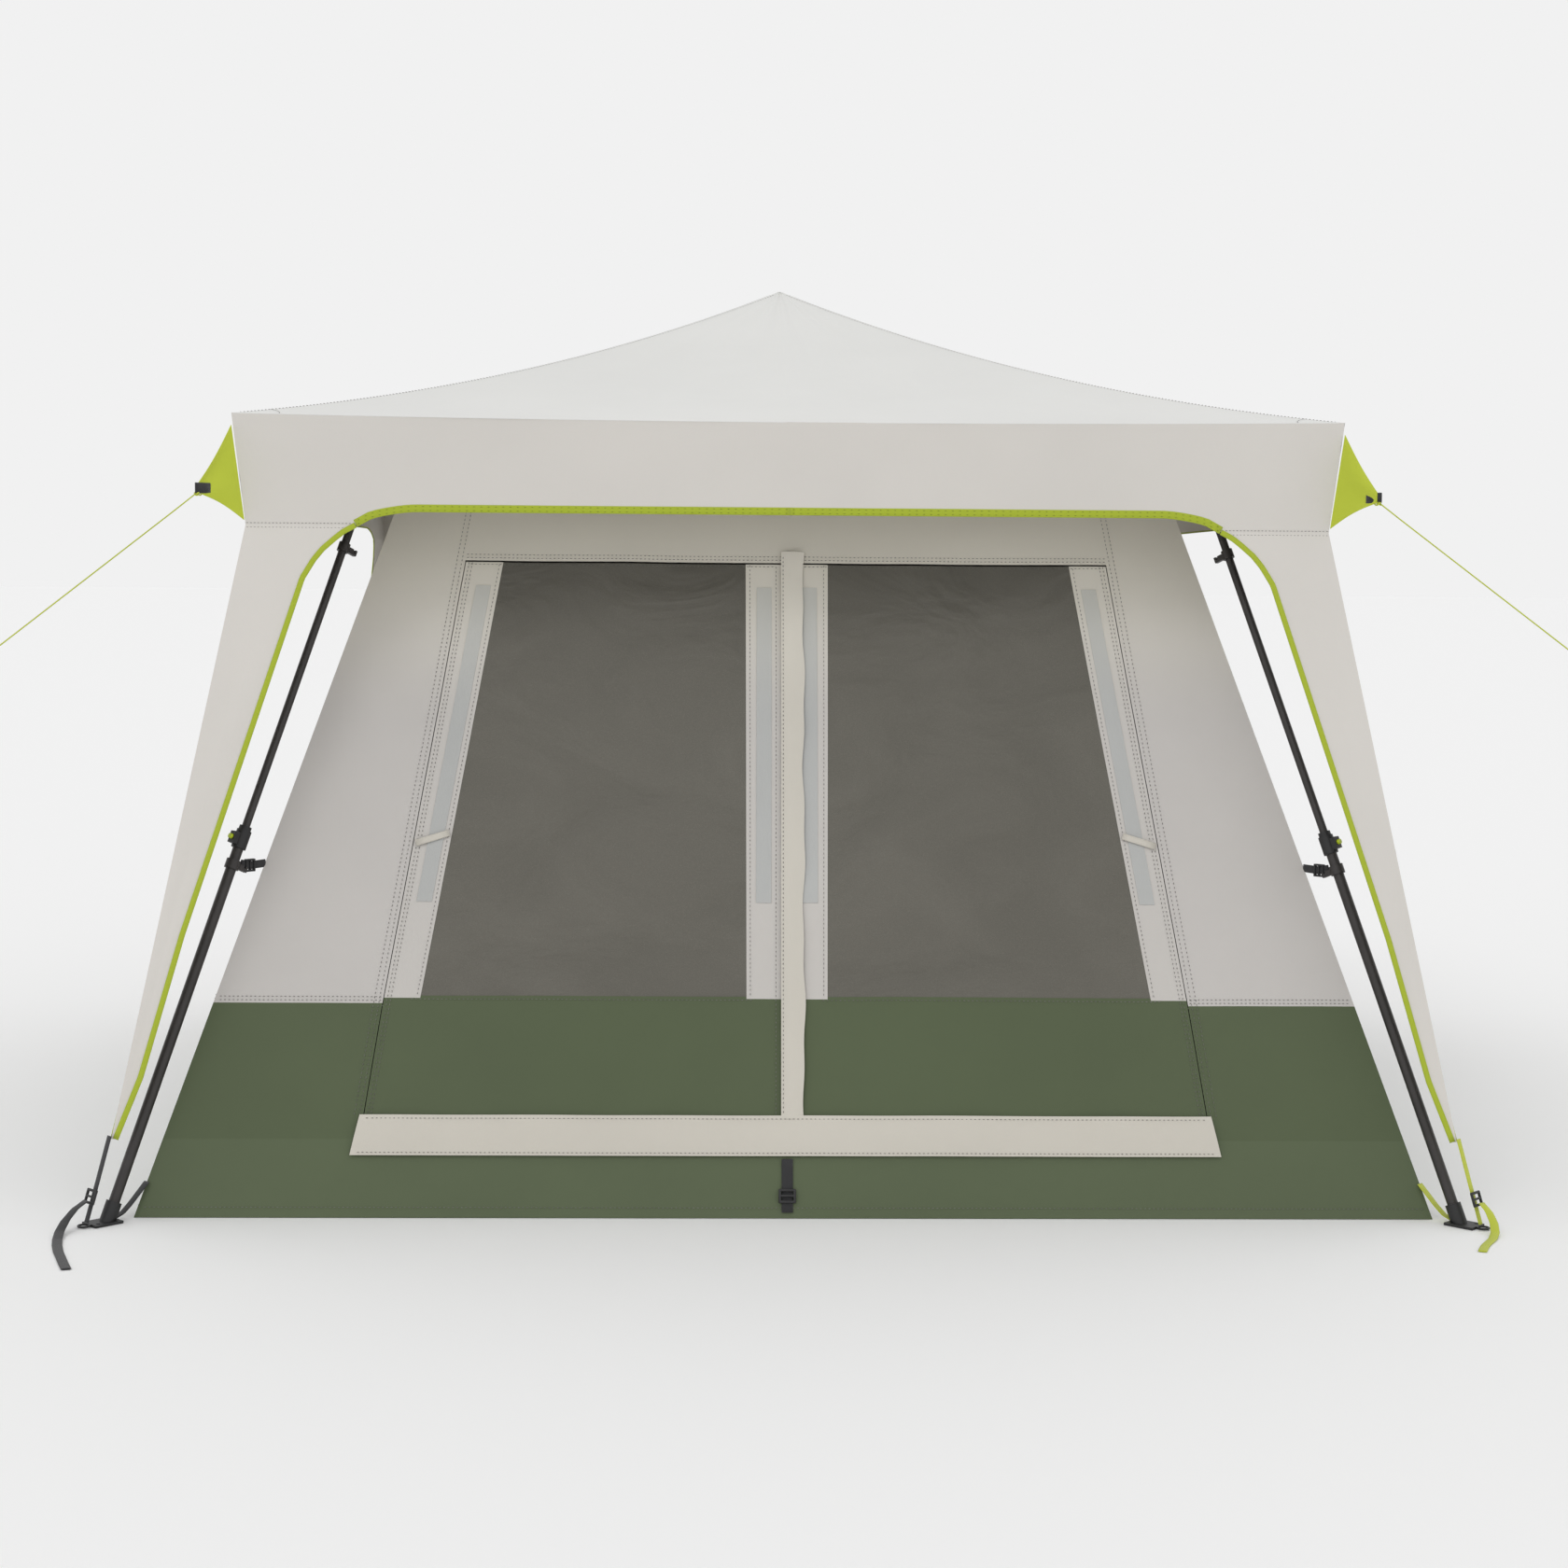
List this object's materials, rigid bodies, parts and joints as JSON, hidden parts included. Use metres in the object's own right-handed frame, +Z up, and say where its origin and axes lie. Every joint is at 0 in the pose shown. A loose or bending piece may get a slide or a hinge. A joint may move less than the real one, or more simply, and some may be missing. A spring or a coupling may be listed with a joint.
{
  "type": "screen house",
  "caption": "Square pop-up screen house with a peaked canopy, mesh walls, a zipped double door and four telescoping folding legs.",
  "frame": {"origin": "on the ground at the centre of the four feet", "axes": "+Z up, +X to the right of someone looking at the door, -Y out of the door"},
  "size_m": [3.4924, 3.5454, 2.257],
  "materials": {
    "black_plastic": "moulded nylon",
    "pole": "satin powder coat",
    "roof_fabric": "coated polyester",
    "fascia_fabric": "coated polyester",
    "wall_fabric": "polyester",
    "skirt_fabric": "coated polyester",
    "mesh": "insect mesh",
    "flap_fabric": "polyester",
    "lime_fabric": "woven",
    "lime_plastic": "moulded",
    "black_webbing": "webbing"
  },
  "bodies": {
    "canopy": {"hub": "black_plastic", "peak_cap": "black_plastic", "roof_front": "roof_fabric", "roof_right": "roof_fabric", "roof_rear": "roof_fabric", "roof_left": "roof_fabric", "fascia": "fascia_fabric", "corner_wings": "fascia_fabric", "guy_tabs": "lime_fabric", "wall_front": "wall_fabric", "wall_right": "wall_fabric", "wall_rear": "wall_fabric", "wall_left": "wall_fabric", "skirt": "skirt_fabric", "window_mesh": "mesh", "bottom_flap": "flap_fabric", "centre_strap": "black_webbing", "guy_cord_fl": "lime_fabric", "guy_cord_fr": "lime_fabric", "foot_straps": "black_webbing"},
    "arm_fl": {"roof_arm_fl": "pole", "elbow_fl": "black_plastic"},
    "upper_leg_fl": {"upper_leg_fl": "pole"},
    "lower_leg_fl": {"lower_leg_fl": "pole", "lock_collar_fl": "black_plastic", "foot_fl": "black_plastic", "strap_tail_fl": "black_webbing"},
    "button_fl": {"lock_button_fl": "lime_plastic"},
    "arm_fr": {"roof_arm_fr": "pole", "elbow_fr": "black_plastic"},
    "upper_leg_fr": {"upper_leg_fr": "pole"},
    "lower_leg_fr": {"lower_leg_fr": "pole", "lock_collar_fr": "black_plastic", "foot_fr": "black_plastic", "strap_tail_fr": "lime_fabric"},
    "button_fr": {"lock_button_fr": "lime_plastic"},
    "arm_rr": {"roof_arm_rr": "pole", "elbow_rr": "black_plastic"},
    "upper_leg_rr": {"upper_leg_rr": "pole"},
    "lower_leg_rr": {"lower_leg_rr": "pole", "lock_collar_rr": "black_plastic", "foot_rr": "black_plastic"},
    "button_rr": {"lock_button_rr": "lime_plastic"},
    "arm_rl": {"roof_arm_rl": "pole", "elbow_rl": "black_plastic"},
    "upper_leg_rl": {"upper_leg_rl": "pole"},
    "lower_leg_rl": {"lower_leg_rl": "pole", "lock_collar_rl": "black_plastic", "foot_rl": "black_plastic"},
    "button_rl": {"lock_button_rl": "lime_plastic"},
    "door_left": {"door_left": "wall_fabric", "door_left_mesh": "mesh", "zip_flap": "flap_fabric"},
    "door_right": {"door_right": "wall_fabric", "door_right_mesh": "mesh"},
    "slider_centre": {"zip_slider_centre": "black_plastic"},
    "slider_left": {"zip_slider_left": "black_plastic"},
    "slider_right": {"zip_slider_right": "black_plastic"}
  },
  "joints": [
    {"name": "fold", "type": "hinge", "parent": "canopy", "child": "arm_fl", "pos_m": [-0.0297, -0.0297, 2.185], "axis": [-0.7071, 0.7071, 0], "range_deg": [0, 96], "deforming": ["roof_front", "roof_right", "roof_rear", "roof_left", "fascia", "corner_wings", "guy_tabs", "wall_front", "wall_right", "wall_rear", "wall_left", "skirt", "window_mesh", "bottom_flap", "centre_strap", "guy_cord_fl", "guy_cord_fr", "foot_straps", "door_left", "door_left_mesh", "zip_flap", "door_right", "door_right_mesh", "zip_slider_centre", "zip_slider_left", "zip_slider_right"]},
    {"name": "knee_fl", "type": "hinge", "parent": "arm_fl", "child": "upper_leg_fl", "pos_m": [-0.99254, -0.99254, 1.766], "axis": [-0.7071, 0.7071, 0], "range_deg": [-120, 0]},
    {"name": "leg_fl", "type": "slide", "parent": "upper_leg_fl", "child": "lower_leg_fl", "axis": [0.2839, 0.2839, 0.9159], "range_m": [0, 0.67]},
    {"name": "button_fl", "type": "slide", "parent": "lower_leg_fl", "child": "button_fl", "axis": [0.6476, 0.6476, -0.4015], "range_m": [0, 0.004], "stiffness_N_per_m": 500},
    {"name": "arm_fr", "type": "hinge", "parent": "canopy", "child": "arm_fr", "pos_m": [0.0297, -0.0297, 2.185], "axis": [-0.7071, -0.7071, 0], "range_deg": [0, 96]},
    {"name": "knee_fr", "type": "hinge", "parent": "arm_fr", "child": "upper_leg_fr", "pos_m": [0.99254, -0.99254, 1.766], "axis": [-0.7071, -0.7071, 0], "range_deg": [-120, 0]},
    {"name": "leg_fr", "type": "slide", "parent": "upper_leg_fr", "child": "lower_leg_fr", "axis": [-0.2839, 0.2839, 0.9159], "range_m": [0, 0.67]},
    {"name": "button_fr", "type": "slide", "parent": "lower_leg_fr", "child": "button_fr", "axis": [-0.6476, 0.6476, -0.4015], "range_m": [0, 0.004], "stiffness_N_per_m": 500},
    {"name": "arm_rr", "type": "hinge", "parent": "canopy", "child": "arm_rr", "pos_m": [0.0297, 0.0297, 2.185], "axis": [0.7071, -0.7071, 0], "range_deg": [0, 96]},
    {"name": "knee_rr", "type": "hinge", "parent": "arm_rr", "child": "upper_leg_rr", "pos_m": [0.99254, 0.99254, 1.766], "axis": [0.7071, -0.7071, 0], "range_deg": [-120, 0]},
    {"name": "leg_rr", "type": "slide", "parent": "upper_leg_rr", "child": "lower_leg_rr", "axis": [-0.2839, -0.2839, 0.9159], "range_m": [0, 0.67]},
    {"name": "button_rr", "type": "slide", "parent": "lower_leg_rr", "child": "button_rr", "axis": [-0.6476, -0.6476, -0.4015], "range_m": [0, 0.004], "stiffness_N_per_m": 500},
    {"name": "arm_rl", "type": "hinge", "parent": "canopy", "child": "arm_rl", "pos_m": [-0.0297, 0.0297, 2.185], "axis": [0.7071, 0.7071, 0], "range_deg": [0, 96]},
    {"name": "knee_rl", "type": "hinge", "parent": "arm_rl", "child": "upper_leg_rl", "pos_m": [-0.99254, 0.99254, 1.766], "axis": [0.7071, 0.7071, 0], "range_deg": [-120, 0]},
    {"name": "leg_rl", "type": "slide", "parent": "upper_leg_rl", "child": "lower_leg_rl", "axis": [0.2839, -0.2839, 0.9159], "range_m": [0, 0.67]},
    {"name": "button_rl", "type": "slide", "parent": "lower_leg_rl", "child": "button_rl", "axis": [0.6476, -0.6476, -0.4015], "range_m": [0, 0.004], "stiffness_N_per_m": 500},
    {"name": "door", "type": "hinge", "parent": "upper_leg_fl", "child": "door_left", "pos_m": [-0.989, -1.43343, 0.17494], "axis": [-0.145, -0.3101, -0.9396], "range_deg": [0, 100]},
    {"name": "door_right", "type": "hinge", "parent": "upper_leg_fr", "child": "door_right", "pos_m": [0.989, -1.43343, 0.17494], "axis": [-0.145, 0.3101, 0.9396], "range_deg": [0, 100]},
    {"name": "zip_centre", "type": "slide", "parent": "door_left", "child": "slider_centre", "axis": [0, 0.3134, 0.9496], "range_m": [0, 1.25]},
    {"name": "zip_left", "type": "slide", "parent": "upper_leg_fl", "child": "slider_left", "axis": [-1, 0, 0], "range_m": [0, 0.85]},
    {"name": "zip_right", "type": "slide", "parent": "upper_leg_fr", "child": "slider_right", "axis": [1, 0, 0], "range_m": [0, 0.85]}
  ],
  "couplings": [
    {"joint": "knee_fl", "follows": "fold", "ratio": -1.245},
    {"joint": "arm_fr", "follows": "fold", "ratio": 1},
    {"joint": "knee_fr", "follows": "fold", "ratio": -1.245},
    {"joint": "arm_rr", "follows": "fold", "ratio": 1},
    {"joint": "knee_rr", "follows": "fold", "ratio": -1.245},
    {"joint": "arm_rl", "follows": "fold", "ratio": 1},
    {"joint": "knee_rl", "follows": "fold", "ratio": -1.245},
    {"joint": "door_right", "follows": "door", "ratio": 1}
  ]
}
